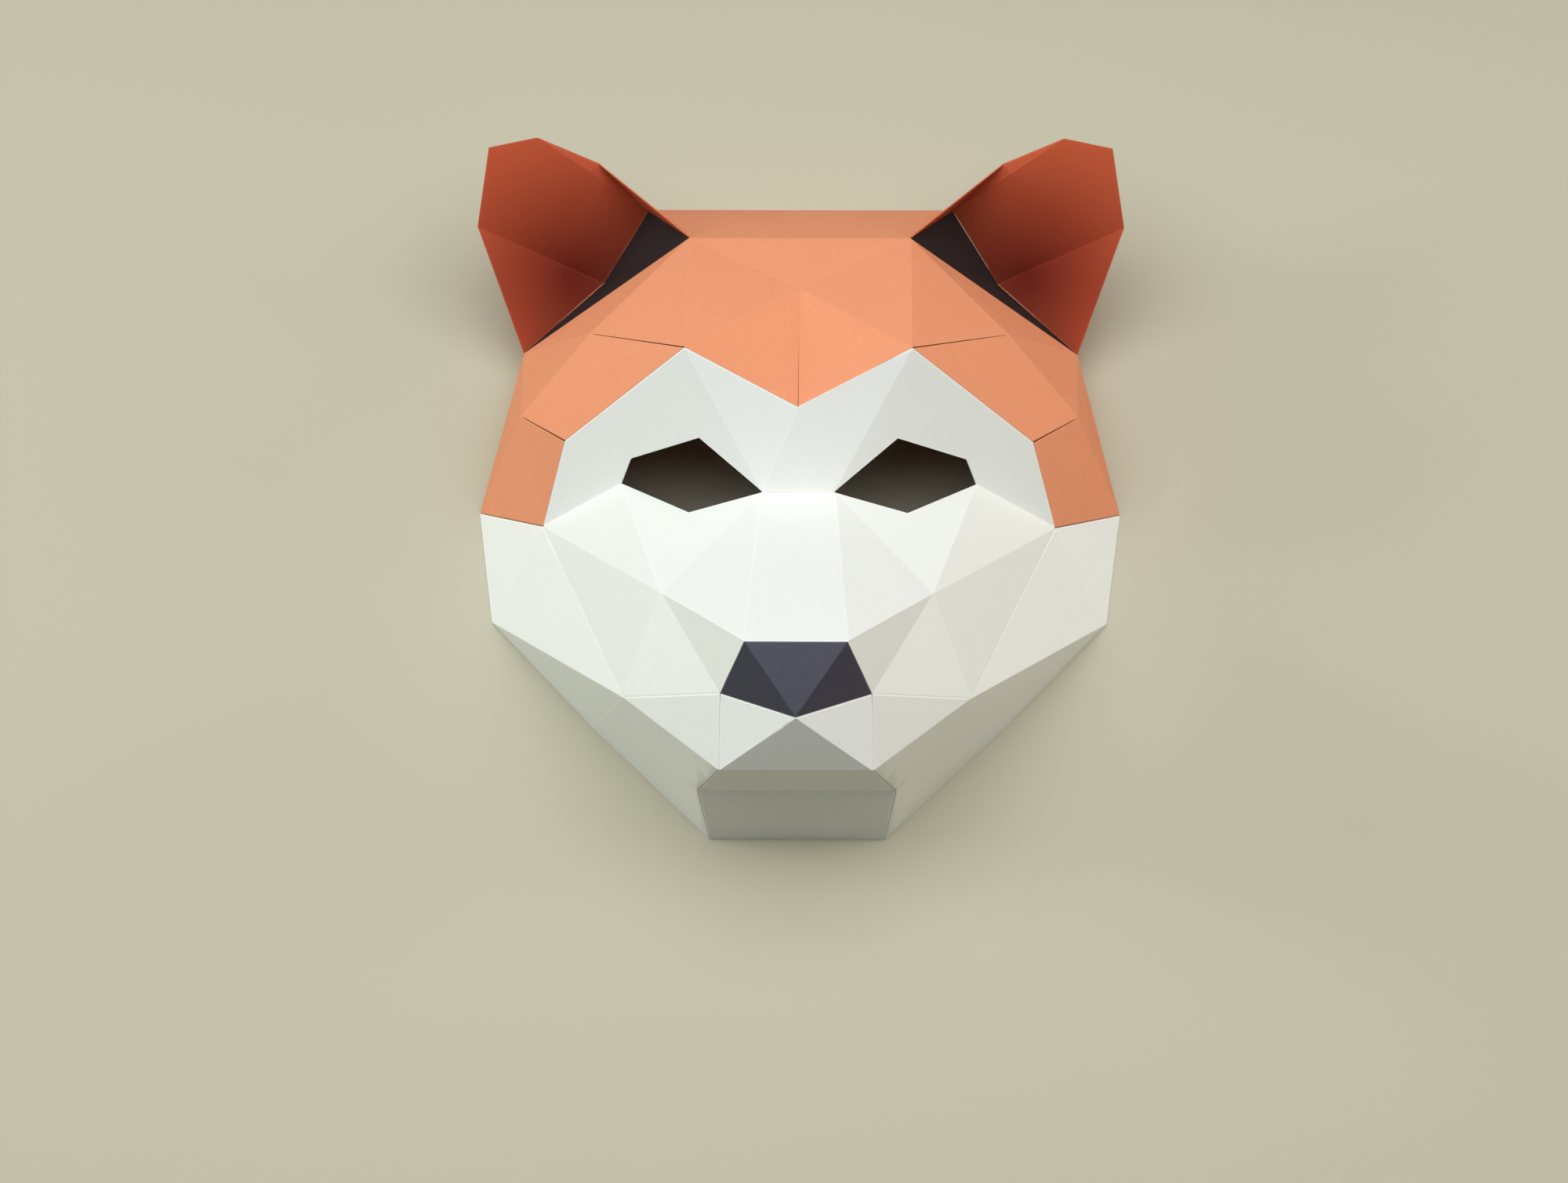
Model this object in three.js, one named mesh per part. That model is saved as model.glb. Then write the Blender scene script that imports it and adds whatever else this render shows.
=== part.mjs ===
// A dog mask of folded card: flat sheets, creased along straight folds and joined edge to edge.
// Millimetres, +Z up. The mask lies face up on its flat back rim, with its chin towards -Y.
// Left and right are the viewer's, looking at the face.

import * as THREE from 'three';

// Driving sizes
const CARD = 1.0; // thickness of the card
const SEAM = 0.3; // gap between two sheets that meet, and the width of a dart
const EAR_SEAT = 0.15; // gap under an ear, along its own face
const RIM_FRONT = -33.8; // front of the back rim's plane at height 0, as worn
const RIM_SLOPE = 0.52; // how far that plane leans back for each millimetre up

// Card colours
const ORANGE = '#e8996b';
const WHITE = '#eff1ec';
const BLACK = '#46434d';
const ROUGHNESS = 0.85;

// Weights of the fits that place a sheet's corners
const FIRM = 1e4; // for a corner that has to stay in the rim's plane
const SOFT = 0.02; // for keeping a corner in its facets' planes as its edges are drawn in
const SLACK = 1e-6; // keeps a fit solvable where all facets lie in one plane

const RIM_NORMAL = new THREE.Vector3(0, RIM_SLOPE, 1).normalize();

// Fold points of the right half, as worn. A front that isn't a number is worked out from a plane.
const onRim = (out, up) => RIM_FRONT - RIM_SLOPE * up;
const onPanel = (...corners) => (out, up) => panelFront(corners, out, up);

const POINT_TABLE = [
  // name, out from the middle, up, front towards the viewer
  ['ear_front', 46.5, 148.5, -20],
  ['crown', 65.5, 164.5, -62],
  ['ear_well', 86, 134, -78],
  ['ear_foot', 120, 103, -70],
  ['ear_side', 138.5, 156, -52],
  ['ear_shoulder', 86.5, 182.5, -48],
  ['ear_tip_out', 132, 187.5, onPanel('crown', 'ear_well', 'ear_side')],
  ['ear_tip_in', 111.5, 192, onPanel('crown', 'ear_well', 'ear_side')],
  ['forehead', 0, 126, 3.5],
  ['brow_middle', 0, 74.5, 38],
  ['brow_peak', 46, 98.5, 40],
  ['brow_end', 97, 62, 3],
  ['temple_top', 86.5, 107, -3],
  ['temple_side', 117, 73, -20],
  ['eye_inner', 14.5, 40.5, 25.5],
  ['lid_inner', 40.5, 62.5, onPanel('brow_peak', 'eye_inner', 'brow_end')],
  ['lid_outer', 69, 54.5, onPanel('brow_peak', 'eye_inner', 'brow_end')],
  ['eye_outer', 73.5, 44.5, onPanel('brow_peak', 'eye_inner', 'brow_end')],
  ['cheekbone', 107.5, 27, onPanel('brow_peak', 'eye_inner', 'brow_end')],
  ['muzzle_shoulder', 53.9, -0.5, 68],
  ['eye_low', 44.5, 32, onPanel('eye_inner', 'muzzle_shoulder', 'eye_outer')],
  ['nose_top', 20, -19, 118],
  ['nose_side', 29.5, -39.5, 100],
  ['nose_tip', 0, -48.2, 118],
  ['jowl', 69.2, -42.3, 60],
  ['lip', 30, -69.5, 94.5],
  ['chin_corner', 39.6, -79.6, 53],
  ['rim_chin', 36, -101.5, onRim],
  ['rim_jaw', 85.5, -57, onRim],
  ['rim_cheek', 129.5, -13.5, onRim],
  ['rim_temple', 137, 33, onRim],
  ['rim_ear', 120, 98, onRim],
  ['rim_well', 90, 130, onRim],
  ['rim_crown', 64, 160, onRim],
];

// Sheets of the shell. Each facet runs counter-clockwise seen from outside.
// A middle facet lies across both halves, where a minus names the left half's point.
// A side facet is one of the right half. Sheets in pairs have side facets only.
const SHELL_SHEETS = [
  {
    name: 'forehead',
    color: ORANGE,
    middle: [['forehead', 'ear_front', '-ear_front']],
    side: [
      ['forehead', 'brow_peak', 'ear_front'],
      ['forehead', 'brow_middle', 'brow_peak'],
      ['brow_peak', 'temple_top', 'ear_front'],
      ['temple_top', 'ear_foot', 'ear_front'],
      ['brow_peak', 'brow_end', 'temple_top'],
      ['brow_end', 'temple_side', 'temple_top'],
      ['temple_top', 'temple_side', 'ear_foot'],
      ['brow_end', 'cheekbone', 'rim_temple', 'temple_side'],
      ['temple_side', 'rim_temple', 'ear_foot'],
    ],
    darts: [
      ['forehead', 'brow_middle'],
      ['brow_peak', 'temple_top'],
      ['brow_end', 'temple_side'],
    ],
  },
  {
    name: 'crown',
    color: ORANGE,
    middle: [
      ['-ear_front', 'ear_front', 'crown', '-crown'],
      ['-crown', 'crown', 'rim_crown', '-rim_crown'],
    ],
    side: [
      ['crown', 'ear_well', 'rim_well'],
      ['crown', 'rim_well', 'rim_crown'],
      ['ear_well', 'ear_foot', 'rim_ear'],
      ['ear_well', 'rim_ear', 'rim_well'],
      ['ear_foot', 'rim_temple', 'rim_ear'],
    ],
  },
  {
    name: 'eye_patch',
    color: WHITE,
    middle: [['brow_middle', '-eye_inner', 'eye_inner']],
    side: [
      ['brow_middle', 'eye_inner', 'brow_peak'],
      ['brow_peak', 'eye_inner', 'lid_inner', 'lid_outer', 'eye_outer', 'cheekbone', 'brow_end'],
    ],
  },
  {
    name: 'muzzle',
    color: WHITE,
    middle: [['eye_inner', '-eye_inner', '-nose_top', 'nose_top']],
    side: [
      ['eye_inner', 'nose_top', 'muzzle_shoulder'],
      ['eye_inner', 'muzzle_shoulder', 'eye_outer', 'eye_low'],
      ['eye_outer', 'muzzle_shoulder', 'cheekbone'],
      ['cheekbone', 'muzzle_shoulder', 'jowl'],
      ['muzzle_shoulder', 'nose_side', 'jowl'],
      ['muzzle_shoulder', 'nose_top', 'nose_side'],
    ],
  },
  {
    name: 'chin',
    color: WHITE,
    middle: [
      ['nose_tip', '-lip', 'lip'],
      ['lip', '-lip', '-chin_corner', 'chin_corner'],
      ['chin_corner', '-chin_corner', '-rim_chin', 'rim_chin'],
    ],
    side: [['nose_tip', 'lip', 'nose_side']],
  },
  {
    name: 'nose',
    color: BLACK,
    middle: [['-nose_top', 'nose_tip', 'nose_top']],
    side: [['nose_top', 'nose_tip', 'nose_side']],
  },
  {
    name: 'cheek',
    color: WHITE,
    side: [
      ['cheekbone', 'rim_cheek', 'rim_temple'],
      ['cheekbone', 'jowl', 'rim_cheek'],
      ['jowl', 'rim_jaw', 'rim_cheek'],
      ['jowl', 'chin_corner', 'rim_jaw'],
      ['chin_corner', 'rim_chin', 'rim_jaw'],
      ['jowl', 'lip', 'chin_corner'],
      ['jowl', 'nose_side', 'lip'],
    ],
  },
  {
    name: 'ear_floor',
    color: BLACK,
    side: [
      ['ear_front', 'ear_foot', 'ear_well'],
      ['ear_front', 'ear_well', 'crown'],
    ],
  },
];

// The ears stand on the shell. Their facets are listed as seen from the front, inside the cup.
const EAR = {
  name: 'ear',
  color: ORANGE,
  side: [
    ['ear_foot', 'ear_side', 'ear_well'],
    ['ear_well', 'ear_side', 'ear_tip_out', 'ear_tip_in', 'crown'],
    ['crown', 'ear_tip_in', 'ear_shoulder'],
    ['crown', 'ear_shoulder', 'ear_front'],
  ],
};
const EAR_BASE = new Set(['ear_foot', 'ear_well', 'crown', 'ear_front']);

// Front of the plane through three points, at a place across and up
function panelFront(corners, out, up) {
  const [a, b, c] = corners.map((name) => POINTS.get(name));
  const plane = new THREE.Plane().setFromCoplanarPoints(a, b, c);
  return -(plane.normal.x * out + plane.normal.y * up + plane.constant) / plane.normal.z;
}

const POINTS = new Map();
for (const [name, out, up, front] of POINT_TABLE) {
  const depth = typeof front === 'function' ? front(out, up) : front;
  POINTS.set(name, new THREE.Vector3(out, up, depth));
  POINTS.set(`-${name}`, new THREE.Vector3(-out, up, depth));
}

// A point's name on the other half. Points of the middle keep theirs.
function mirrored(name) {
  if (POINTS.get(name).x === 0) return name;
  return name.startsWith('-') ? name.slice(1) : `-${name}`;
}

const mirroredFacet = (facet) => facet.map(mirrored).reverse();

const edgesOf = (facet) => facet.map((name, i) => [name, facet[(i + 1) % facet.length]]);

const edgeKey = (from, to) => `${from} to ${to}`;

// Outward unit normal of a facet
function facetNormal(facet) {
  const sum = new THREE.Vector3();
  for (const [from, to] of edgesOf(facet)) {
    sum.add(new THREE.Vector3().crossVectors(POINTS.get(from), POINTS.get(to)));
  }
  return sum.normalize();
}

// The vector whose component along each demand's direction comes nearest to its value
function fitVector(demands) {
  const product = [SLACK, 0, 0, 0, SLACK, 0, 0, 0, SLACK];
  const sum = new THREE.Vector3();
  for (const { along, value, weight = 1 } of demands) {
    const part = along.toArray();
    product.forEach((_, i) => {
      product[i] += weight * part[Math.floor(i / 3)] * part[i % 3];
    });
    sum.addScaledVector(along, weight * value);
  }
  return sum.applyMatrix3(new THREE.Matrix3().set(...product).invert());
}

// A point's name without the mark of its half
const halfName = (name) => name.replace('-', '');

const isOnRim = (name) => halfName(name).startsWith('rim_');

const IN_RIM_PLANE = { along: RIM_NORMAL, value: 0, weight: FIRM };

// For each fold point, the vector from the outer face of the card to its inner face.
// It runs along the mean normal of the facets that meet there, and in the rim's plane at the rim.
function thicknessVectors(facets) {
  const normals = new Map();
  for (const facet of facets) {
    for (const name of facet) {
      if (!normals.has(name)) normals.set(name, []);
      normals.get(name).push(facetNormal(facet));
    }
  }
  const vectorAt = ([name, list]) => {
    const mean = list.reduce((sum, normal) => sum.add(normal), new THREE.Vector3());
    if (isOnRim(name)) mean.projectOnPlane(RIM_NORMAL);
    const depth = list.reduce((sum, normal) => sum + normal.dot(mean), 0) / list.length;
    return [name, mean.multiplyScalar(-CARD / depth)];
  };
  return new Map([...normals].map(vectorAt));
}

// Numbers the corners of a sheet's facets: facets joined at a fold share the corners at its ends
function numberCorners(facets, isFold) {
  const labels = facets.map((facet, f) => facet.map((_, i) => `${f}.${i}`));
  const relabel = (from, to) => {
    for (const list of labels) {
      list.forEach((label, i) => {
        if (label === from) list[i] = to;
      });
    }
  };
  facets.forEach((facet, f) => {
    for (const [from, to] of edgesOf(facet).filter((edge) => isFold(...edge))) {
      const other = facets.findIndex((list) => edgesOf(list).some(([a, b]) => a === to && b === from));
      for (const name of [from, to]) {
        relabel(labels[other][facets[other].indexOf(name)], labels[f][facet.indexOf(name)]);
      }
    }
  });
  const order = [...new Set(labels.flat())];
  return labels.map((list) => list.map((label) => order.indexOf(label)));
}

// Triangles of a flat facet, as triples of places in its list of corners
function triangulate(facet, normal) {
  const across = POINTS.get(facet[1]).clone().sub(POINTS.get(facet[0])).normalize();
  const along = new THREE.Vector3().crossVectors(normal, across);
  const contour = facet.map((name) => {
    const point = POINTS.get(name);
    return new THREE.Vector2(point.dot(across), point.dot(along));
  });
  return THREE.ShapeUtils.triangulateShape(contour, []);
}

// The cut edge of a sheet from its outer corners to its inner ones, count places on.
// Two sheets that meet split it the same way, from the outer corner at the point whose name comes first.
function wallTriangles(start, end, count, startFirst) {
  const [innerStart, innerEnd] = [count + start, count + end];
  if (startFirst) return [end, start, innerEnd, start, innerStart, innerEnd];
  return [end, start, innerStart, end, innerStart, innerEnd];
}

// The closed solid of one folded sheet, with its edges drawn in by insetOf and its darts cut open
function sheetGeometry({ facets, darts }, insetOf, thickness) {
  const cuts = new Set(darts.flatMap(([a, b]) => [edgeKey(a, b), edgeKey(b, a)]));
  const edges = new Set(facets.flatMap(edgesOf).map((edge) => edgeKey(...edge)));
  const isFold = (from, to) => edges.has(edgeKey(to, from)) && !cuts.has(edgeKey(from, to));
  const corners = numberCorners(facets, isFold);
  const count = Math.max(...corners.flat()) + 1;
  const names = new Array(count);
  const demands = Array.from({ length: count }, () => []);
  const index = [];

  facets.forEach((facet, f) => {
    const normal = facetNormal(facet);
    facet.forEach((name, i) => {
      names[corners[f][i]] = name;
      demands[corners[f][i]].push({ along: normal, value: 0, weight: SOFT });
    });
    for (const [a, b, c] of triangulate(facet, normal)) {
      const [p, q, r] = [corners[f][a], corners[f][b], corners[f][c]];
      index.push(p, q, r, count + r, count + q, count + p);
    }
    edgesOf(facet).forEach(([from, to], i) => {
      if (isFold(from, to)) return;
      const start = corners[f][i];
      const end = corners[f][(i + 1) % facet.length];
      const direction = POINTS.get(to).clone().sub(POINTS.get(from)).normalize();
      const inward = new THREE.Vector3().crossVectors(normal, direction);
      const value = cuts.has(edgeKey(from, to)) ? SEAM / 2 : insetOf(from, to);
      const level = isOnRim(from) && isOnRim(to) ? [IN_RIM_PLANE] : [];
      demands[start].push({ along: inward, value }, ...level);
      demands[end].push({ along: inward, value }, ...level);
      index.push(...wallTriangles(start, end, count, halfName(from) < halfName(to)));
    });
  });

  const outer = names.map((name, corner) => POINTS.get(name).clone().add(fitVector(demands[corner])));
  const inner = names.map((name, corner) => outer[corner].clone().add(thickness.get(name)));
  const geometry = new THREE.BufferGeometry().setFromPoints([...outer, ...inner]);
  geometry.setIndex(index);
  geometry.computeVertexNormals();
  return geometry;
}

// Both sheets of a pair, or the one sheet that lies across both halves
function wholeSheets({ name, color, middle, side, darts = [] }) {
  const left = side.map(mirroredFacet);
  if (!middle) {
    return [
      { name: `${name}_left`, color, facets: left, darts },
      { name: `${name}_right`, color, facets: side, darts },
    ];
  }
  const bothDarts = [...darts, ...darts.map((dart) => dart.map(mirrored))];
  return [{ name, color, facets: [...middle, ...side, ...left], darts: bothDarts }];
}

function sheetMesh(sheet, insetOf, thickness) {
  const material = new THREE.MeshStandardMaterial({
    color: sheet.color,
    roughness: ROUGHNESS,
    metalness: 0,
    flatShading: true,
  });
  const mesh = new THREE.Mesh(sheetGeometry(sheet, insetOf, thickness), material);
  mesh.name = sheet.name;
  return mesh;
}

// The shell's sheets leave a seam where another sheet has the same edge. Eye holes and rim are free edges.
function shellMeshes() {
  const sheets = SHELL_SHEETS.flatMap(wholeSheets);
  const facets = sheets.flatMap((sheet) => sheet.facets);
  const edges = new Set(facets.flatMap(edgesOf).map((edge) => edgeKey(...edge)));
  const insetOf = (from, to) => (edges.has(edgeKey(to, from)) ? SEAM / 2 : 0);
  const thickness = thicknessVectors(facets);
  return sheets.map((sheet) => sheetMesh(sheet, insetOf, thickness));
}

// Each ear stands clear of the shell along its base, and its rim is a free edge
function earMeshes() {
  const isBase = (name) => EAR_BASE.has(halfName(name));
  const insetOf = (from, to) => (isBase(from) && isBase(to) ? EAR_SEAT : 0);
  return wholeSheets(EAR).map((sheet) => sheetMesh(sheet, insetOf, thicknessVectors(sheet.facets)));
}

// The mask as worn, turned back until its rim is level and set down with the origin under its middle
function paperDogMask() {
  const mask = new THREE.Group();
  mask.add(...shellMeshes(), ...earMeshes());
  mask.rotation.x = Math.atan(RIM_SLOPE);
  const box = new THREE.Box3().setFromObject(mask, true);
  const middle = box.getCenter(new THREE.Vector3());
  mask.position.set(-middle.x, -middle.y, -box.min.z);
  return mask;
}

export default paperDogMask();
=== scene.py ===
"""Dresses the paper dog mask: sheets of thin dyed card with soft folds, on a pale floor.

Metres, +Z up. The mask lies face up on its back rim, with its chin towards -Y.
Left and right are the viewer's, looking at the face.
"""

import logging
import math
from dataclasses import dataclass
from enum import Enum

import bmesh
import bpy
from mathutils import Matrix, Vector, noise
from mathutils.bvhtree import BVHTree

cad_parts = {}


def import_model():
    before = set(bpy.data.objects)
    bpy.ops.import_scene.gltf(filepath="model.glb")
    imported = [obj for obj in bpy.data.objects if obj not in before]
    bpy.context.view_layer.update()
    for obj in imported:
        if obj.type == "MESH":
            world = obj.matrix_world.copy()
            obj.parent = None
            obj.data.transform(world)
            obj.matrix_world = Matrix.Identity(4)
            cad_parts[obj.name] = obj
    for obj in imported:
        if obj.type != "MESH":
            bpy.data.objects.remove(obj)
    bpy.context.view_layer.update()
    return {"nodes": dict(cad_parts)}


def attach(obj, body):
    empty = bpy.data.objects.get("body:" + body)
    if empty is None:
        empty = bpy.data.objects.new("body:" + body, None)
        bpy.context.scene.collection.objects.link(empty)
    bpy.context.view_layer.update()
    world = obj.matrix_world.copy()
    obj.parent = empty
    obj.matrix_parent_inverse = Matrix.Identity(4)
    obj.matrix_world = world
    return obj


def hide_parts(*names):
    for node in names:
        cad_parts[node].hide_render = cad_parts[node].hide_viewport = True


LOG = logging.getLogger("paper_dog_mask")

MM = 0.001
ONLY_BODY = "root"

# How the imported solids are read
SOLID_CARD = 1.0 * MM
MERGE_DISTANCE = 0.01 * MM
CUT_INRADIUS = 1.3 * MM
FLAT_ANGLE = math.radians(0.5)
SEAM_REACH = 0.8 * MM
HOLLOW_MIDDLE = Vector((0.0, 20.0, 30.0)) * MM

# How the faces of a sheet are numbered and marked
NO_FACET = 0
FULL_MARK = 1.0
PRESSED_MARK = 0.5

# The part of a noise pattern's range that is stretched out, and its finer layers
NOISE_LOW = 0.35
NOISE_HIGH = 0.65
SOFT_LAYERS = 2.0
FINE_LAYERS = 3.0

Colour = tuple[float, float, float]
BMPart = bmesh.types.BMVert | bmesh.types.BMEdge | bmesh.types.BMFace


class CardSlot(Enum):
    """The record's material slots."""

    ORANGE = "card_orange"
    WHITE = "card_white"
    BLACK = "card_black"


class CardSide(Enum):
    """The sides of a solid sheet. Face and back are numbered as a sheet's materials are."""

    FACE = 0
    BACK = 1
    CUT = 2


class SeamKind(Enum):
    """What becomes of a cut edge of a sheet."""

    FREE = "meets nothing"
    BUTT = "lies close against another sheet"
    SHUT = "is pressed against another sheet"
    SLIT = "leaves a dark slit"
    TUCK = "is tucked into a seam below"


@dataclass(frozen=True)
class CardFinish:
    """Dyed card: soft clouds, fine mottling, felt marks, worn folds, pale cut edges, with a painted
    highlight on white card's folds and cut edges and painted shade in slits and ear cups.
    """

    name: str
    colour: Colour
    cloud_colour: Colour
    mottle_colour: Colour
    # Folds: paler where orange or black card wears at the crease; on white card the paler fold is a
    # painted highlight.
    fold_wear_and_highlight_colour: Colour
    # Cut edges: the card's paler core on orange and black card; on white card the paler edge is a
    # painted highlight.
    cut_core_and_highlight_colour: Colour
    # Painted shade: the dark colour on the walls of slits, where shade falls between sheets.
    slit_shade_colour: Colour
    # Painted shade: the colour that darkens the ear cups towards their inner corner.
    well_shade_colour: Colour | None = None
    cloud_share: float = 0.5
    mottle_share: float = 0.5
    fold_share: float = 0.15
    cut_share: float = 0.6
    slit_shade_share: float = 1.0
    roughness: float = 0.85
    specular: float = 0.3
    cloud_width: float = 30.0 * MM
    mottle_width: float = 2.2 * MM
    felt_width: float = 1.6 * MM
    fibre_width: float = 0.5 * MM
    felt_height: float = 0.04 * MM
    fibre_height: float = 0.016 * MM

    def material(self) -> bpy.types.Material:
        """Builds the finish as a node material.

        Returns:
            The material, ready to be put on a sheet.
        """
        made = bpy.data.materials.get(self.name)
        if made is not None:
            return made
        material = bpy.data.materials.new(self.name)
        material.use_nodes = True
        tree = material.node_tree
        shader = tree.nodes["Principled BSDF"]
        shader.inputs["Roughness"].default_value = self.roughness
        shader.inputs["Specular IOR Level"].default_value = self.specular
        place = tree.nodes.new("ShaderNodeTexCoord").outputs["Object"]

        clouds = self._noise(tree, place, self.cloud_width, SOFT_LAYERS)
        mottle = self._noise(tree, place, self.mottle_width, FINE_LAYERS)
        cloud_share = self._spread(tree, clouds, self.cloud_share)
        mottle_share = self._spread(tree, mottle, self.mottle_share)
        tint = self._blend(tree, cloud_share, self.colour, self.cloud_colour)
        tint = self._blend(tree, mottle_share, tint, self.mottle_colour)
        # Painted shade towards the cup's inner corner, where the well mark is set.
        if self.well_shade_colour is not None:
            tint = self._blend(tree, self._mark(tree, "well", FULL_MARK), tint, self.well_shade_colour)
        # Fold mark: worn paler on dyed card, a painted highlight on white card.
        tint = self._blend(tree, self._mark(tree, "fold", self.fold_share), tint, self.fold_wear_and_highlight_colour)
        # Cut mark: the paler core of dyed card, a painted highlight on white card.
        tint = self._blend(tree, self._mark(tree, "cut", self.cut_share), tint, self.cut_core_and_highlight_colour)
        # Slit mark: painted shade on the walls of slits.
        tint = self._blend(tree, self._mark(tree, "slit", self.slit_shade_share), tint, self.slit_shade_colour)
        tree.links.new(tint, shader.inputs["Base Color"])

        felt = self._noise(tree, place, self.felt_width, SOFT_LAYERS)
        fibres = self._noise(tree, place, self.fibre_width, SOFT_LAYERS)
        rough_face = self._bump(tree, fibres, self.fibre_height, None)
        tree.links.new(self._bump(tree, felt, self.felt_height, rough_face), shader.inputs["Normal"])
        return material

    @staticmethod
    def _noise(
        tree: bpy.types.NodeTree, place: bpy.types.NodeSocket, width: float, layers: float
    ) -> bpy.types.NodeSocket:
        """Adds a noise pattern.

        Args:
            tree: The material's nodes.
            place: The coordinates that the pattern lies on.
            width: The width of one patch of the pattern.
            layers: How many finer layers the pattern has.

        Returns:
            The pattern's value, around one half.
        """
        node = tree.nodes.new("ShaderNodeTexNoise")
        node.inputs["Scale"].default_value = 1.0 / width
        node.inputs["Detail"].default_value = layers
        tree.links.new(place, node.inputs["Vector"])
        return node.outputs["Fac"]

    @staticmethod
    def _spread(
        tree: bpy.types.NodeTree, value: bpy.types.NodeSocket, share: float
    ) -> bpy.types.NodeSocket:
        """Stretches a noise pattern from none to a share of a second colour.

        Args:
            tree: The material's nodes.
            value: The pattern's value.
            share: The most of the second colour that shows.

        Returns:
            The stretched value.
        """
        node = tree.nodes.new("ShaderNodeMapRange")
        node.inputs["From Min"].default_value = NOISE_LOW
        node.inputs["From Max"].default_value = NOISE_HIGH
        node.inputs["To Max"].default_value = share
        tree.links.new(value, node.inputs["Value"])
        return node.outputs["Result"]

    @staticmethod
    def _mark(tree: bpy.types.NodeTree, name: str, share: float) -> bpy.types.NodeSocket:
        """Reads a mark that the mesh carries.

        Args:
            tree: The material's nodes.
            name: The mark's name.
            share: The most of the marked colour that shows.

        Returns:
            The mark's value times the share.
        """
        mark = tree.nodes.new("ShaderNodeAttribute")
        mark.attribute_name = name
        node = tree.nodes.new("ShaderNodeMapRange")
        node.inputs["To Max"].default_value = share
        tree.links.new(mark.outputs["Fac"], node.inputs["Value"])
        return node.outputs["Result"]

    @staticmethod
    def _blend(
        tree: bpy.types.NodeTree,
        share: bpy.types.NodeSocket,
        first: bpy.types.NodeSocket | Colour,
        second: Colour,
    ) -> bpy.types.NodeSocket:
        """Blends a second colour over a first.

        Args:
            tree: The material's nodes.
            share: How much of the second colour shows.
            first: The colour below, as a socket or three numbers.
            second: The colour above.

        Returns:
            The blended colour.
        """
        node = tree.nodes.new("ShaderNodeMix")
        node.data_type = "RGBA"
        below, above = (s for s in node.inputs if s.type == "RGBA")
        tree.links.new(share, node.inputs["Factor"])
        if isinstance(first, tuple):
            below.default_value = (*first, 1.0)
        else:
            tree.links.new(first, below)
        above.default_value = (*second, 1.0)
        return next(s for s in node.outputs if s.type == "RGBA")

    @staticmethod
    def _bump(
        tree: bpy.types.NodeTree,
        height: bpy.types.NodeSocket,
        depth: float,
        below: bpy.types.NodeSocket | None,
    ) -> bpy.types.NodeSocket:
        """Adds a layer of relief.

        Args:
            tree: The material's nodes.
            height: The pattern of the relief.
            depth: The height of the relief.
            below: The relief that this layer lies on, if any.

        Returns:
            The normal of the rough face.
        """
        node = tree.nodes.new("ShaderNodeBump")
        node.inputs["Distance"].default_value = depth
        tree.links.new(height, node.inputs["Height"])
        if below is not None:
            tree.links.new(below, node.inputs["Normal"])
        return node.outputs["Normal"]


ORANGE_CARD = CardFinish(
    name="orange_card",
    colour=(0.86, 0.33, 0.175),
    cloud_colour=(0.88, 0.35, 0.19),
    mottle_colour=(0.83, 0.305, 0.155),
    fold_wear_and_highlight_colour=(0.88, 0.40, 0.23),
    cut_core_and_highlight_colour=(0.87, 0.37, 0.21),
    slit_shade_colour=(0.42, 0.11, 0.05),
)
# Painted shade: the orange card of the ear cups, painted darker and redder as it looks in the shade of
# the cups; its fold lines are painted darker and its cut edges keep the orange.
SHADED_ORANGE_CARD = CardFinish(
    name="shaded_orange_card",
    colour=(0.645, 0.119, 0.049),
    cloud_colour=(0.665, 0.125, 0.052),
    mottle_colour=(0.60, 0.10, 0.04),
    fold_wear_and_highlight_colour=(0.60, 0.100, 0.041),
    cut_core_and_highlight_colour=(0.80, 0.26, 0.13),
    slit_shade_colour=(0.16, 0.02, 0.01),
    well_shade_colour=(0.147, 0.008, 0.002),
    mottle_share=0.25,
    cut_share=0.25,
)
WHITE_CARD = CardFinish(
    name="white_card",
    colour=(0.86, 0.88, 0.86),
    cloud_colour=(0.85, 0.87, 0.84),
    mottle_colour=(0.84, 0.86, 0.83),
    # Painted highlight: the white card's folds are painted paler than its face.
    fold_wear_and_highlight_colour=(0.95, 0.95, 0.94),
    # Painted highlight: the white card's cut edges and pressed strips are painted paler than its face.
    cut_core_and_highlight_colour=(0.96, 0.96, 0.95),
    slit_shade_colour=(0.42, 0.41, 0.36),
    fold_share=0.4,
    cut_share=1.0,
)
BLACK_CARD = CardFinish(
    name="black_card",
    colour=(0.028, 0.027, 0.056),
    cloud_colour=(0.032, 0.031, 0.061),
    mottle_colour=(0.024, 0.023, 0.049),
    fold_wear_and_highlight_colour=(0.048, 0.047, 0.078),
    cut_core_and_highlight_colour=(0.054, 0.052, 0.084),
    slit_shade_colour=(0.010, 0.010, 0.012),
    roughness=0.52,
    specular=0.85,
)
# Painted shade: the black card of the ear floors, painted darker and redder as it looks deep in the
# shade of the ears.
SHADED_BLACK_CARD = CardFinish(
    name="shaded_black_card",
    colour=(0.019, 0.011, 0.012),
    cloud_colour=(0.022, 0.013, 0.014),
    mottle_colour=(0.016, 0.009, 0.010),
    fold_wear_and_highlight_colour=(0.034, 0.022, 0.023),
    cut_core_and_highlight_colour=(0.045, 0.030, 0.030),
    slit_shade_colour=(0.01, 0.01, 0.01),
)


def place_along(point: Vector, start: Vector, end: Vector) -> float:
    """Finds how far along a straight line a point lies.

    Args:
        point: The point.
        start: The line's start.
        end: The line's end.

    Returns:
        The share of the way along, from 0 to 1.
    """
    along = end - start
    return max(0.0, min(1.0, (point - start).dot(along) / along.length_squared))


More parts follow.
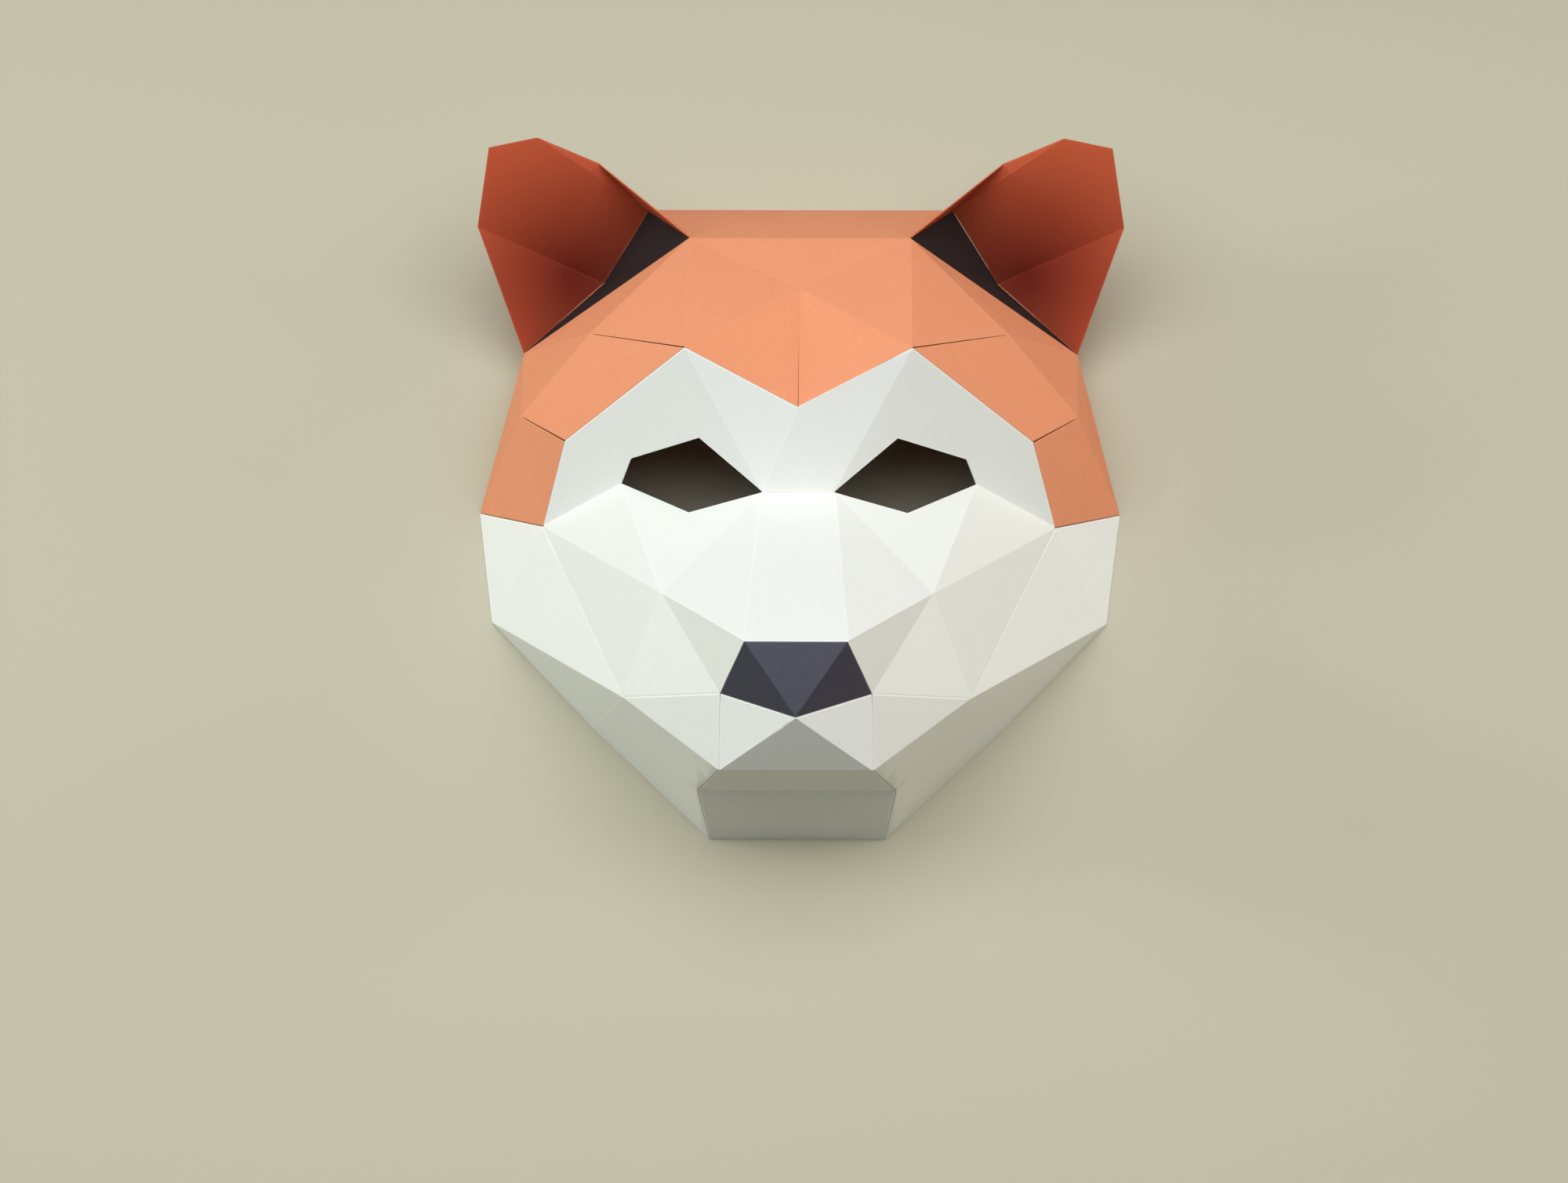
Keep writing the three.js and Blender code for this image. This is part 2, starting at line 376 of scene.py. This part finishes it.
def gap_to_line(point: Vector, start: Vector, end: Vector) -> float:
    """Finds the distance from a point to a straight line between two others.

    Args:
        point: The point.
        start: The line's start.
        end: The line's end.

    Returns:
        The distance.
    """
    return (start.lerp(end, place_along(point, start, end)) - point).length


@dataclass(frozen=True)
class CutEdge:
    """One straight cut of a solid sheet, with the way through the card at its two ends."""

    start: Vector
    end: Vector
    start_through: Vector
    end_through: Vector
    normal: Vector
    inward: Vector
    kind: SeamKind

    def joins(self, edge: bmesh.types.BMEdge) -> bool:
        """Tells whether an edge of the sheet runs between the cut's two ends."""
        gaps = [min((v.co - self.start).length, (v.co - self.end).length) for v in edge.verts]
        return max(gaps) < MERGE_DISTANCE

    def gap(self, point: Vector) -> float:
        """Finds the distance from a point to the cut."""
        return gap_to_line(point, self.start, self.end)

    def nearest(self, point: Vector) -> Vector:
        """Finds the place on the cut that is nearest to a point."""
        return self.start.lerp(self.end, place_along(point, self.start, self.end))

    def way_through(self, point: Vector) -> Vector:
        """Finds the way through the solid card at the place nearest to a point."""
        return self.start_through.lerp(self.end_through, place_along(point, self.start, self.end))


@dataclass(frozen=True)
class Facet:
    """One flat facet of a sheet before its folds are rounded."""

    normal: Vector
    edges: tuple[tuple[Vector, Vector], ...]
    cuts: tuple[CutEdge, ...]
    height: float
    softness: float

    def bow_at(self, point: Vector) -> Vector:
        """Finds how far the facet's own spring moves a point of it.

        Args:
            point: A point of the facet.

        Returns:
            The move, which is nothing at the facet's edges.
        """
        crowding = 0.0
        for start, end in self.edges:
            gap = gap_to_line(point, start, end)
            if gap < MERGE_DISTANCE:
                return Vector()
            crowding += 1.0 / gap**2
        room = 1.0 / math.sqrt(crowding)
        return self.normal * (self.height * (1.0 - math.exp(-room / self.softness)))


class SheetMap:
    """Where all the solid sheets lie, so that a cut edge can tell which of them it meets."""

    def __init__(self, nodes: dict[str, bpy.types.Object]) -> None:
        """Maps the sheets.

        Args:
            nodes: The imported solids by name.
        """
        self.trees: dict[str, BVHTree] = {}
        for name, node in nodes.items():
            corners = [vert.co for vert in node.data.vertices]
            faces = [tuple(face.vertices) for face in node.data.polygons]
            self.trees[name] = BVHTree.FromPolygons(corners, faces)

    def near(self, point: Vector) -> set[str]:
        """Names the sheets that lie within a seam's reach of a point."""
        return {name for name, tree in self.trees.items() if tree.find_nearest(point, SEAM_REACH)[0]}


def nearest_cut(cuts: list[CutEdge], point: Vector) -> CutEdge:
    """Picks the cut edge that is nearest to a point."""
    return min(cuts, key=lambda cut: cut.gap(point))


@dataclass
class FoldedCard:
    """Sheets of folded card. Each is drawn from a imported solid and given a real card's thickness."""

    sheets: tuple[str, ...]
    card_slot: CardSlot
    face_finish: CardFinish
    back_finish: CardFinish
    thickness: float = 0.5 * MM
    fold_width: float = 0.35 * MM
    fold_steps: int = 2
    fold_least_angle: float = math.radians(0.5)
    edge_strip: float = 0.45 * MM
    edge_turn: float = 0.12 * MM
    shut_outset: float = 0.14 * MM
    slit_inset: float = 0.04 * MM
    tuck_depth: float = 0.4 * MM
    on_edge: float = 0.05 * MM
    grid: float = 5.0 * MM
    grid_snap: float = 0.25 * MM
    bow_height: float = 0.35 * MM
    bow_size: float = 50.0 * MM
    bow_softness: float = 12.0 * MM
    bow_change: float = 3.0
    bow_outward: float = 0.35

    def build(self, nodes: dict[str, bpy.types.Object], sheet_map: SheetMap) -> None:
        """Builds and dresses every sheet.

        Args:
            nodes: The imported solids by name.
            sheet_map: Where all the sheets lie.
        """
        materials = [self.face_finish.material()]
        if self.back_finish != self.face_finish:
            materials.append(self.back_finish.material())
        for name in self.sheets:
            mesh = self._sheet_mesh(nodes[name], sheet_map)
            for material in materials:
                mesh.materials.append(material)
            piece = bpy.data.objects.new(f"{name}_card", mesh)
            bpy.context.scene.collection.objects.link(piece)
            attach(piece, ONLY_BODY)
            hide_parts(name)
            LOG.info("%s: %d faces", piece.name, len(mesh.polygons))

    def is_face(self, centre: Vector, normal: Vector) -> bool:
        """Tells whether a side of the sheet is the one that shows on the mask's outside."""
        return normal.dot(centre - HOLLOW_MIDDLE) > 0.0

    def seam_kind(self, sheet: str, met: set[str], middle: Vector) -> SeamKind:
        """Tells what becomes of a cut edge.

        Args:
            sheet: The sheet that the edge belongs to.
            met: The other sheets near the edge's middle, and the sheet itself if the edge is a dart's.
            middle: The edge's middle.

        Returns:
            The kind of seam.
        """
        return SeamKind.BUTT if met else SeamKind.FREE

    def _sheet_mesh(self, node: bpy.types.Object, sheet_map: SheetMap) -> bpy.types.Mesh:
        """Draws one sheet from its solid.

        Args:
            node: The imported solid.
            sheet_map: Where all the sheets lie.

        Returns:
            The sheet's mesh, with its marks and its sharp edges.
        """
        mesh = node.data.copy()
        mesh.name = f"{node.name}_card"
        mesh.attributes.remove(mesh.attributes["custom_normal"])
        mesh.materials.clear()
        bm = bmesh.new()
        bm.from_mesh(mesh)
        bmesh.ops.remove_doubles(bm, verts=bm.verts[:], dist=MERGE_DISTANCE)
        cuts = self._keep_face(bm, node.name, sheet_map)
        facets = self._round_folds(bm, cuts)
        self._trim_edges(bm, facets)
        self._lay_grid(bm)
        self._bow(bm, facets)
        self._draw_edges(bm, facets)
        self._thicken(bm, cuts)
        self._sharpen(bm)
        self._mark_well_shade(bm)
        bm.to_mesh(mesh)
        bm.free()
        return mesh

    def _side_of(self, face: bmesh.types.BMFace) -> CardSide:
        """Tells which side of the solid sheet a triangle belongs to.

        Args:
            face: A triangle of the solid.

        Returns:
            The side. A triangle that only a small circle fits into is part of a cut edge.
        """
        inradius = 2.0 * face.calc_area() / face.calc_perimeter()
        if inradius < CUT_INRADIUS:
            return CardSide.CUT
        if self.is_face(face.calc_center_median(), face.normal):
            return CardSide.FACE
        return CardSide.BACK

    def _keep_face(self, bm: bmesh.types.BMesh, sheet: str, sheet_map: SheetMap) -> list[CutEdge]:
        """Keeps the outer side of a solid sheet, with one face for each facet.

        Args:
            bm: The solid sheet.
            sheet: The sheet's name.
            sheet_map: Where all the sheets lie.

        Returns:
            The solid's cut edges, for the sheet's own outline and thickness.
        """
        sides = {face: self._side_of(face) for face in bm.faces}
        front = {v for face, side in sides.items() if side is CardSide.FACE for v in face.verts}
        back = {v for face, side in sides.items() if side is CardSide.BACK for v in face.verts}
        through = self._ways_through(front, back)
        rim = {CardSide.FACE, CardSide.CUT}
        outline = [e for e in bm.edges if {sides[f] for f in e.link_faces} == rim]
        cuts = []
        for edge in outline:
            a, b = edge.verts
            face = next(f for f in edge.link_faces if sides[f] is CardSide.FACE)
            middle = (a.co + b.co) / 2
            across = face.calc_center_median() - middle
            inward = (across - across.project(b.co - a.co)).normalized()
            met = sheet_map.near(middle) - {sheet}
            if any(self._lies_near(middle, e) for e in outline if e is not edge):
                met.add(sheet)
            kind = self.seam_kind(sheet, met, middle)
            normal = face.normal.copy()
            cuts.append(CutEdge(a.co.copy(), b.co.copy(), through[a], through[b], normal, inward, kind))
        spare = [face for face, side in sides.items() if side is not CardSide.FACE]
        bmesh.ops.delete(bm, geom=spare, context="FACES")
        bmesh.ops.dissolve_limit(bm, angle_limit=FLAT_ANGLE, verts=bm.verts[:], edges=bm.edges[:])
        return cuts

    @staticmethod
    def _lies_near(point: Vector, edge: bmesh.types.BMEdge) -> bool:
        """Tells whether a point lies within a seam's reach of an edge."""
        return gap_to_line(point, edge.verts[0].co, edge.verts[1].co) < SEAM_REACH

    @staticmethod
    def _ways_through(
        front: set[bmesh.types.BMVert], back: set[bmesh.types.BMVert]
    ) -> dict[bmesh.types.BMVert, Vector]:
        """Finds the way through the card at each corner of a sheet's cut edges.

        Args:
            front: The corners of the outer side.
            back: The corners of the inner side.

        Returns:
            For each outer corner that a cut edge ends at, the step to the inner corner behind it.
        """
        steps = {}
        for corner in front:
            behind = [edge.other_vert(corner) for edge in corner.link_edges]
            ways = [v.co - corner.co for v in behind if v in back]
            if ways:
                steps[corner] = min(ways, key=lambda way: way.length)
        return steps

    def _round_folds(self, bm: bmesh.types.BMesh, cuts: list[CutEdge]) -> dict[int, Facet]:
        """Rounds the folds, and numbers and marks the facets between them.

        Args:
            bm: The sheet's outer side.
            cuts: The solid's cut edges, which the sheet's outline keeps to.

        Returns:
            The facets by number.
        """
        number = bm.faces.layers.int.new("facet")
        fold = bm.faces.layers.float.new("fold")
        bm.faces.layers.float.new("cut")
        facets = {}
        for count, face in enumerate(bm.faces, start=1):
            face[number] = count
            facets[count] = self._facet(face, cuts)
        sharp = [e for e in bm.edges if e.is_manifold and e.calc_face_angle() > self.fold_least_angle]
        made = bmesh.ops.bevel(
            bm,
            geom=sharp,
            offset=self.fold_width,
            offset_type="OFFSET",
            segments=self.fold_steps,
            profile=0.5,
            affect="EDGES",
            clamp_overlap=True,
            material=-1,
        )
        for face in made["faces"]:
            face[number] = NO_FACET
            face[fold] = FULL_MARK
        for vert in bm.verts:
            if vert.is_boundary:
                own = self._own_cuts(vert, number, facets) or cuts
                vert.co = nearest_cut(own, vert.co).nearest(vert.co)
        return facets

    @staticmethod
    def _own_cuts(
        vert: bmesh.types.BMVert, number: bmesh.types.BMLayerItem, facets: dict[int, Facet]
    ) -> list[CutEdge]:
        """Gathers the cut edges of the facets round a point of the outline.

        Args:
            vert: The point.
            number: The layer with the faces' facet numbers.
            facets: The facets by number.

        Returns:
            The cut edges of the facets that the point belongs to, or else of those next to it.
        """
        counts = {face[number] for face in vert.link_faces} - {NO_FACET}
        if not counts:
            around = {v for face in vert.link_faces for v in face.verts}
            counts = {face[number] for v in around for face in v.link_faces} - {NO_FACET}
        return [cut for count in sorted(counts) for cut in facets[count].cuts]

    def _facet(self, face: bmesh.types.BMFace, cuts: list[CutEdge]) -> Facet:
        """Measures one facet and settles how it bows.

        Args:
            face: The facet's face.
            cuts: The solid's cut edges.

        Returns:
            The facet.
        """
        centre = face.calc_center_median()
        spring = noise.noise(centre / self.bow_size * self.bow_change) + self.bow_outward
        height = self.bow_height * spring * min(1.0, math.sqrt(face.calc_area()) / self.bow_size)
        edges = tuple((e.verts[0].co.copy(), e.verts[1].co.copy()) for e in face.edges)
        own = tuple(cut for cut in cuts if any(cut.joins(e) for e in face.edges if e.is_boundary))
        return Facet(face.normal.copy(), edges, own, height, self.bow_softness)

    def _trim_edges(self, bm: bmesh.types.BMesh, facets: dict[int, Facet]) -> None:
        """Draws a narrow strip along the cut edges, where the knife has pressed the card.

        Args:
            bm: The sheet's outer side, with rounded folds.
            facets: The facets by number.
        """
        number = bm.faces.layers.int["facet"]
        cut = bm.faces.layers.float["cut"]
        strips = []
        for edge in bm.edges:
            if edge.is_boundary and edge.link_faces[0][number] != NO_FACET:
                loop = edge.link_loops[0]
                start = loop.vert.co.copy()
                end = loop.link_loop_next.vert.co.copy()
                strips.append((loop.face[number], start, end))
        for count, start, end in strips:
            faces = [face for face in bm.faces if face[number] == count]
            inward = facets[count].normal.cross(end - start).normalized()
            bmesh.ops.bisect_plane(
                bm,
                geom=self._geometry_of(faces),
                dist=MERGE_DISTANCE,
                plane_co=start + inward * self.edge_strip,
                plane_no=inward,
            )
        for face in bm.faces:
            centre = face.calc_center_median()
            for count, start, end in strips:
                if face[number] == count and gap_to_line(centre, start, end) < self.edge_strip:
                    face[cut] = PRESSED_MARK

    @staticmethod
    def _geometry_of(faces: list[bmesh.types.BMFace]) -> list[BMPart]:
        """Gathers faces with their edges and corners.

        Args:
            faces: The faces.

        Returns:
            The corners, the edges and the faces, in a fixed order.
        """
        edges = dict.fromkeys(edge for face in faces for edge in face.edges)
        verts = dict.fromkeys(vert for face in faces for vert in face.verts)
        return [*verts, *edges, *faces]

    def _lay_grid(self, bm: bmesh.types.BMesh) -> None:
        """Cuts the facets into small faces, so that they can bow.

        Args:
            bm: The sheet's outer side.
        """
        for axis in range(3):
            normal = Vector()
            normal[axis] = 1.0
            reach = [v.co[axis] for v in bm.verts]
            first = math.floor(min(reach) / self.grid)
            last = math.ceil(max(reach) / self.grid)
            for step in range(first, last + 1):
                bmesh.ops.bisect_plane(
                    bm,
                    geom=[*bm.verts, *bm.edges, *bm.faces],
                    dist=self.grid_snap,
                    plane_co=normal * (step * self.grid),
                    plane_no=normal,
                )

    @staticmethod
    def _bow(bm: bmesh.types.BMesh, facets: dict[int, Facet]) -> None:
        """Bows each facet a little between its folds, as card springs.

        Args:
            bm: The sheet, cut into small faces.
            facets: The facets by number.
        """
        number = bm.faces.layers.int["facet"]
        moves = {}
        for vert in bm.verts:
            met = {face[number] for face in vert.link_faces}
            if len(met) == 1 and NO_FACET not in met:
                moves[vert] = facets[met.pop()].bow_at(vert.co)
        for vert, move in moves.items():
            vert.co += move

    def _draw_edges(self, bm: bmesh.types.BMesh, facets: dict[int, Facet]) -> None:
        """Turns the cut edges down where sheets meet, opens the slits and tucks in what is tucked.

        Args:
            bm: The sheet's outer side.
            facets: The facets by number.
        """
        number = bm.faces.layers.int["facet"]
        steps = {
            SeamKind.FREE: (0.0, 0.0),
            SeamKind.BUTT: (0.0, self.edge_turn),
            SeamKind.SHUT: (-self.shut_outset, self.edge_turn),
            SeamKind.SLIT: (self.slit_inset, self.edge_turn),
            SeamKind.TUCK: (-self.tuck_depth, 0.0),
        }
        moves = {}
        for vert in bm.verts:
            if vert.is_boundary:
                around = self._own_cuts(vert, number, facets)
                own = [cut for cut in around if cut.gap(vert.co) < self.on_edge]
                move = Vector()
                for cut_edge in own:
                    inset, turn = steps[cut_edge.kind]
                    move += cut_edge.inward * inset - cut_edge.normal * (turn / len(own))
                moves[vert] = move
        for vert, move in moves.items():
            vert.co += move

    def _thicken(self, bm: bmesh.types.BMesh, cuts: list[CutEdge]) -> None:
        """Gives the sheet its thickness, with cut edges that run as the solid's do.

        Args:
            bm: The sheet's outer side.
            cuts: The solid's cut edges.
        """
        cut = bm.faces.layers.float["cut"]
        slit = bm.faces.layers.float.new("slit")
        outer = set(bm.verts)
        outside = set(bm.faces)
        bmesh.ops.solidify(bm, geom=bm.faces[:], thickness=0.0)
        bm.normal_update()
        for face in bm.faces:
            if face in outside:
                continue
            if any(v in outer for v in face.verts):
                face[cut] = FULL_MARK
                kind = nearest_cut(cuts, face.calc_center_median()).kind
                # Walls of slits carry the slit mark, which paints them with shade.
                face[slit] = float(kind is SeamKind.SLIT)
                face.material_index = CardSide.FACE.value
            elif self.back_finish != self.face_finish:
                face.material_index = CardSide.BACK.value
        for vert in bm.verts:
            if vert in outer:
                continue
            fronts = [e.other_vert(vert) for e in vert.link_edges]
            if any(v in outer for v in fronts):
                through = nearest_cut(cuts, vert.co).way_through(vert.co)
                vert.co += through * (self.thickness / SOLID_CARD)
            else:
                vert.co += vert.normal * self.thickness
        for vert in bm.verts:
            vert.co.z = max(vert.co.z, 0.0)

    def _mark_well_shade(self, bm: bmesh.types.BMesh) -> None:
        """Leaves a sheet without the painted shade that the ears have towards their inner corner."""

    @staticmethod
    def _sharpen(bm: bmesh.types.BMesh) -> None:
        """Keeps folds and cut edges crisp, and shades each facet smoothly.

        Args:
            bm: The sheet with its thickness.
        """
        number = bm.faces.layers.int["facet"]
        cut = bm.faces.layers.float["cut"]
        for face in bm.faces:
            face.smooth = True
        for edge in bm.edges:
            kinds = {(face[number], face[cut]) for face in edge.link_faces}
            edge.smooth = len(kinds) == 1 and min(kinds)[0] != NO_FACET


@dataclass
class Hood(FoldedCard):
    """The orange hood: the forehead with its darts, and the crown behind it."""

    sheets: tuple[str, ...] = ("forehead", "crown")
    card_slot: CardSlot = CardSlot.ORANGE
    face_finish: CardFinish = ORANGE_CARD
    back_finish: CardFinish = ORANGE_CARD
    shut_outset: float = 0.09 * MM
    slit_inset: float = 0.16 * MM
    middle_dart_reach: float = 5.0 * MM

    def seam_kind(self, sheet: str, met: set[str], middle: Vector) -> SeamKind:
        """Presses the dart of the brow's middle nearly shut, and leaves those at the sides open.

        Args:
            sheet: The sheet that the edge belongs to.
            met: The other sheets near the edge's middle, and the sheet itself if the edge is a dart's.
            middle: The edge's middle.

        Returns:
            The kind of seam.
        """
        if sheet not in met:
            return super().seam_kind(sheet, met, middle)
        return SeamKind.SHUT if abs(middle.x) < self.middle_dart_reach else SeamKind.SLIT


@dataclass
class Face(FoldedCard):
    """The white face: the patch round the eyes, the muzzle, the cheeks and the chin."""

    sheets: tuple[str, ...] = ("eye_patch", "muzzle", "cheek_left", "cheek_right", "chin")
    card_slot: CardSlot = CardSlot.WHITE
    face_finish: CardFinish = WHITE_CARD
    back_finish: CardFinish = WHITE_CARD
    edge_turn: float = 0.2 * MM
    tuck_depth: float = 0.14 * MM

    def seam_kind(self, sheet: str, met: set[str], middle: Vector) -> SeamKind:
        """Leaves slits beside the chin, tucks in the seams of the patch, and presses the cheeks shut.

        Args:
            sheet: The sheet that the edge belongs to.
            met: The other sheets near the edge's middle, and the sheet itself if the edge is a dart's.
            middle: The edge's middle.

        Returns:
            The kind of seam.
        """
        white = met & set(self.sheets)
        if not white:
            return super().seam_kind(sheet, met, middle)
        pair = white | {sheet}
        if "chin" in pair:
            return SeamKind.SLIT
        return SeamKind.TUCK if "eye_patch" in pair else SeamKind.SHUT


@dataclass
class Nose(FoldedCard):
    """The black nose at the muzzle's end."""

    sheets: tuple[str, ...] = ("nose",)
    card_slot: CardSlot = CardSlot.BLACK
    face_finish: CardFinish = BLACK_CARD
    back_finish: CardFinish = BLACK_CARD


@dataclass
class EarFloors(FoldedCard):
    """The two black sheets at the bottom of the ears."""

    sheets: tuple[str, ...] = ("ear_floor_left", "ear_floor_right")
    card_slot: CardSlot = CardSlot.BLACK
    # Painted shade: the floors are painted darker than the nose's black card.
    face_finish: CardFinish = SHADED_BLACK_CARD
    back_finish: CardFinish = SHADED_BLACK_CARD


@dataclass
class EarCups(FoldedCard):
    """The two ears. Each is an open cup, whose face is the side that looks to the front."""

    sheets: tuple[str, ...] = ("ear_left", "ear_right")
    card_slot: CardSlot = CardSlot.ORANGE
    # Painted shade: the cup's inside is painted darker and redder than the orange card outside.
    face_finish: CardFinish = SHADED_ORANGE_CARD
    back_finish: CardFinish = ORANGE_CARD
    mouth_place: Vector = Vector((105.0, 112.0, 75.0)) * MM
    # Painted shade: the darkening is strongest at this place and fades out over its reach.
    well_shade_place: Vector = Vector((99.5, 110.4, 27.5)) * MM
    well_shade_reach: float = 72.0 * MM

    def is_face(self, centre: Vector, normal: Vector) -> bool:
        """Tells whether a side of the sheet looks into the cup."""
        mouth = self._on_half(self.mouth_place, centre)
        return normal.dot(mouth - centre) > 0.0

    def seam_kind(self, sheet: str, met: set[str], middle: Vector) -> SeamKind:
        """Tucks the ear's foot into the seam round its floor, and leaves its rim free."""
        return SeamKind.TUCK if met else SeamKind.FREE

    @staticmethod
    def _on_half(place: Vector, point: Vector) -> Vector:
        """Moves a place of the right ear to the half of the mask that a point lies on."""
        return Vector((math.copysign(place.x, point.x), place.y, place.z))

    def _mark_well_shade(self, bm: bmesh.types.BMesh) -> None:
        """Marks where painted shade darkens the cup towards its inner corner, from none at the mark's
        reach.

        Args:
            bm: The finished sheet.
        """
        # The well mark sets how much painted shade each point gets.
        well = bm.verts.layers.float.new("well")
        for vert in bm.verts:
            gap = (vert.co - self._on_half(self.well_shade_place, vert.co)).length
            vert[well] = max(0.0, FULL_MARK - gap / self.well_shade_reach)


@dataclass(frozen=True)
class Lamp:
    """One wide soft lamp, turned towards the mask."""

    name: str
    place: tuple[float, float, float]
    power: float
    colour: Colour
    width: float = 0.75
    length: float = 0.75

    def build(self, aim: Vector) -> None:
        """Hangs the lamp.

        Args:
            aim: The place that the lamp is turned to.
        """
        lamp = bpy.data.lights.new(self.name, "AREA")
        lamp.shape = "ELLIPSE"
        lamp.size = self.width
        lamp.size_y = self.length
        lamp.energy = self.power
        lamp.color = self.colour
        holder = bpy.data.objects.new(self.name, lamp)
        holder.location = self.place
        holder.rotation_euler = (aim - Vector(self.place)).to_track_quat("-Z", "Y").to_euler()
        bpy.context.scene.collection.objects.link(holder)


@dataclass
class Studio:
    """A pale floor, a soft lamp overhead and one at each side, and the camera."""

    floor_width: float = 6.0
    floor_drop: float = 0.3 * MM
    floor_colour: Colour = (0.545, 0.52, 0.41)
    floor_roughness: float = 0.9
    lamps: tuple[Lamp, ...] = (
        Lamp("lamp_overhead", (0.0, 0.0, 1.28), 20.8, (0.98, 0.995, 1.0), width=2.4, length=1.3),
        Lamp("lamp_left", (-1.60, 0.12, 0.625), 9.9, (0.935, 1.0, 0.875)),
        Lamp("lamp_right", (1.60, 0.12, 0.625), 6.3, (1.0, 0.87, 0.63)),
    )
    lamp_aim: Vector = Vector((0.0, 0.0, 0.06))
    room_colour: Colour = (1.0, 0.98, 0.90)
    room_strength: float = 0.02
    camera_place: Vector = Vector((11.646, -736.932, 1360.160)) * MM
    camera_turn: tuple[float, float, float] = (27.4730, 0.5086, 0.4803)
    camera_lens: float = 83.08
    camera_sensor: float = 36.0
    camera_nearest: float = 0.05

    def build(self) -> None:
        """Sets up the floor, the lights and the camera."""
        self._floor()
        self._lights()
        self._camera()

    def _floor(self) -> None:
        """Lays the floor just under the mask's rim."""
        bm = bmesh.new()
        bmesh.ops.create_grid(bm, x_segments=1, y_segments=1, size=self.floor_width / 2)
        bmesh.ops.translate(bm, verts=bm.verts[:], vec=(0.0, 0.0, -self.floor_drop))
        mesh = bpy.data.meshes.new("floor")
        bm.to_mesh(mesh)
        bm.free()
        material = bpy.data.materials.new("pale_floor")
        material.use_nodes = True
        shader = material.node_tree.nodes["Principled BSDF"]
        shader.inputs["Base Color"].default_value = (*self.floor_colour, 1.0)
        shader.inputs["Roughness"].default_value = self.floor_roughness
        mesh.materials.append(material)
        floor = bpy.data.objects.new("floor", mesh)
        bpy.context.scene.collection.objects.link(floor)

    def _lights(self) -> None:
        """Hangs the lamps and sets the light of the room."""
        for lamp in self.lamps:
            lamp.build(self.lamp_aim)
        world = bpy.data.worlds.new("room")
        world.use_nodes = True
        room = world.node_tree.nodes["Background"]
        room.inputs["Color"].default_value = (*self.room_colour, 1.0)
        room.inputs["Strength"].default_value = self.room_strength
        bpy.context.scene.world = world

    def _camera(self) -> None:
        """Sets the camera straight in front of the face, and keeps colours plain."""
        camera = bpy.data.cameras.new("camera")
        camera.sensor_width = self.camera_sensor
        camera.lens = self.camera_lens
        camera.clip_start = self.camera_nearest
        holder = bpy.data.objects.new("camera", camera)
        holder.location = self.camera_place
        holder.rotation_euler = [math.radians(turn) for turn in self.camera_turn]
        bpy.context.scene.collection.objects.link(holder)
        bpy.context.scene.camera = holder
        bpy.context.scene.view_settings.view_transform = "Standard"


def main() -> None:
    """Builds the sheets of the mask and the studio around it."""
    logging.basicConfig(level=logging.INFO, format="%(name)s: %(message)s")
    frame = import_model()
    nodes = frame["nodes"]
    Studio().build()
    sheet_map = SheetMap(nodes)
    for assembly in (Hood(), Face(), Nose(), EarFloors(), EarCups()):
        assembly.build(nodes, sheet_map)


if __name__ == "__main__":
    main()
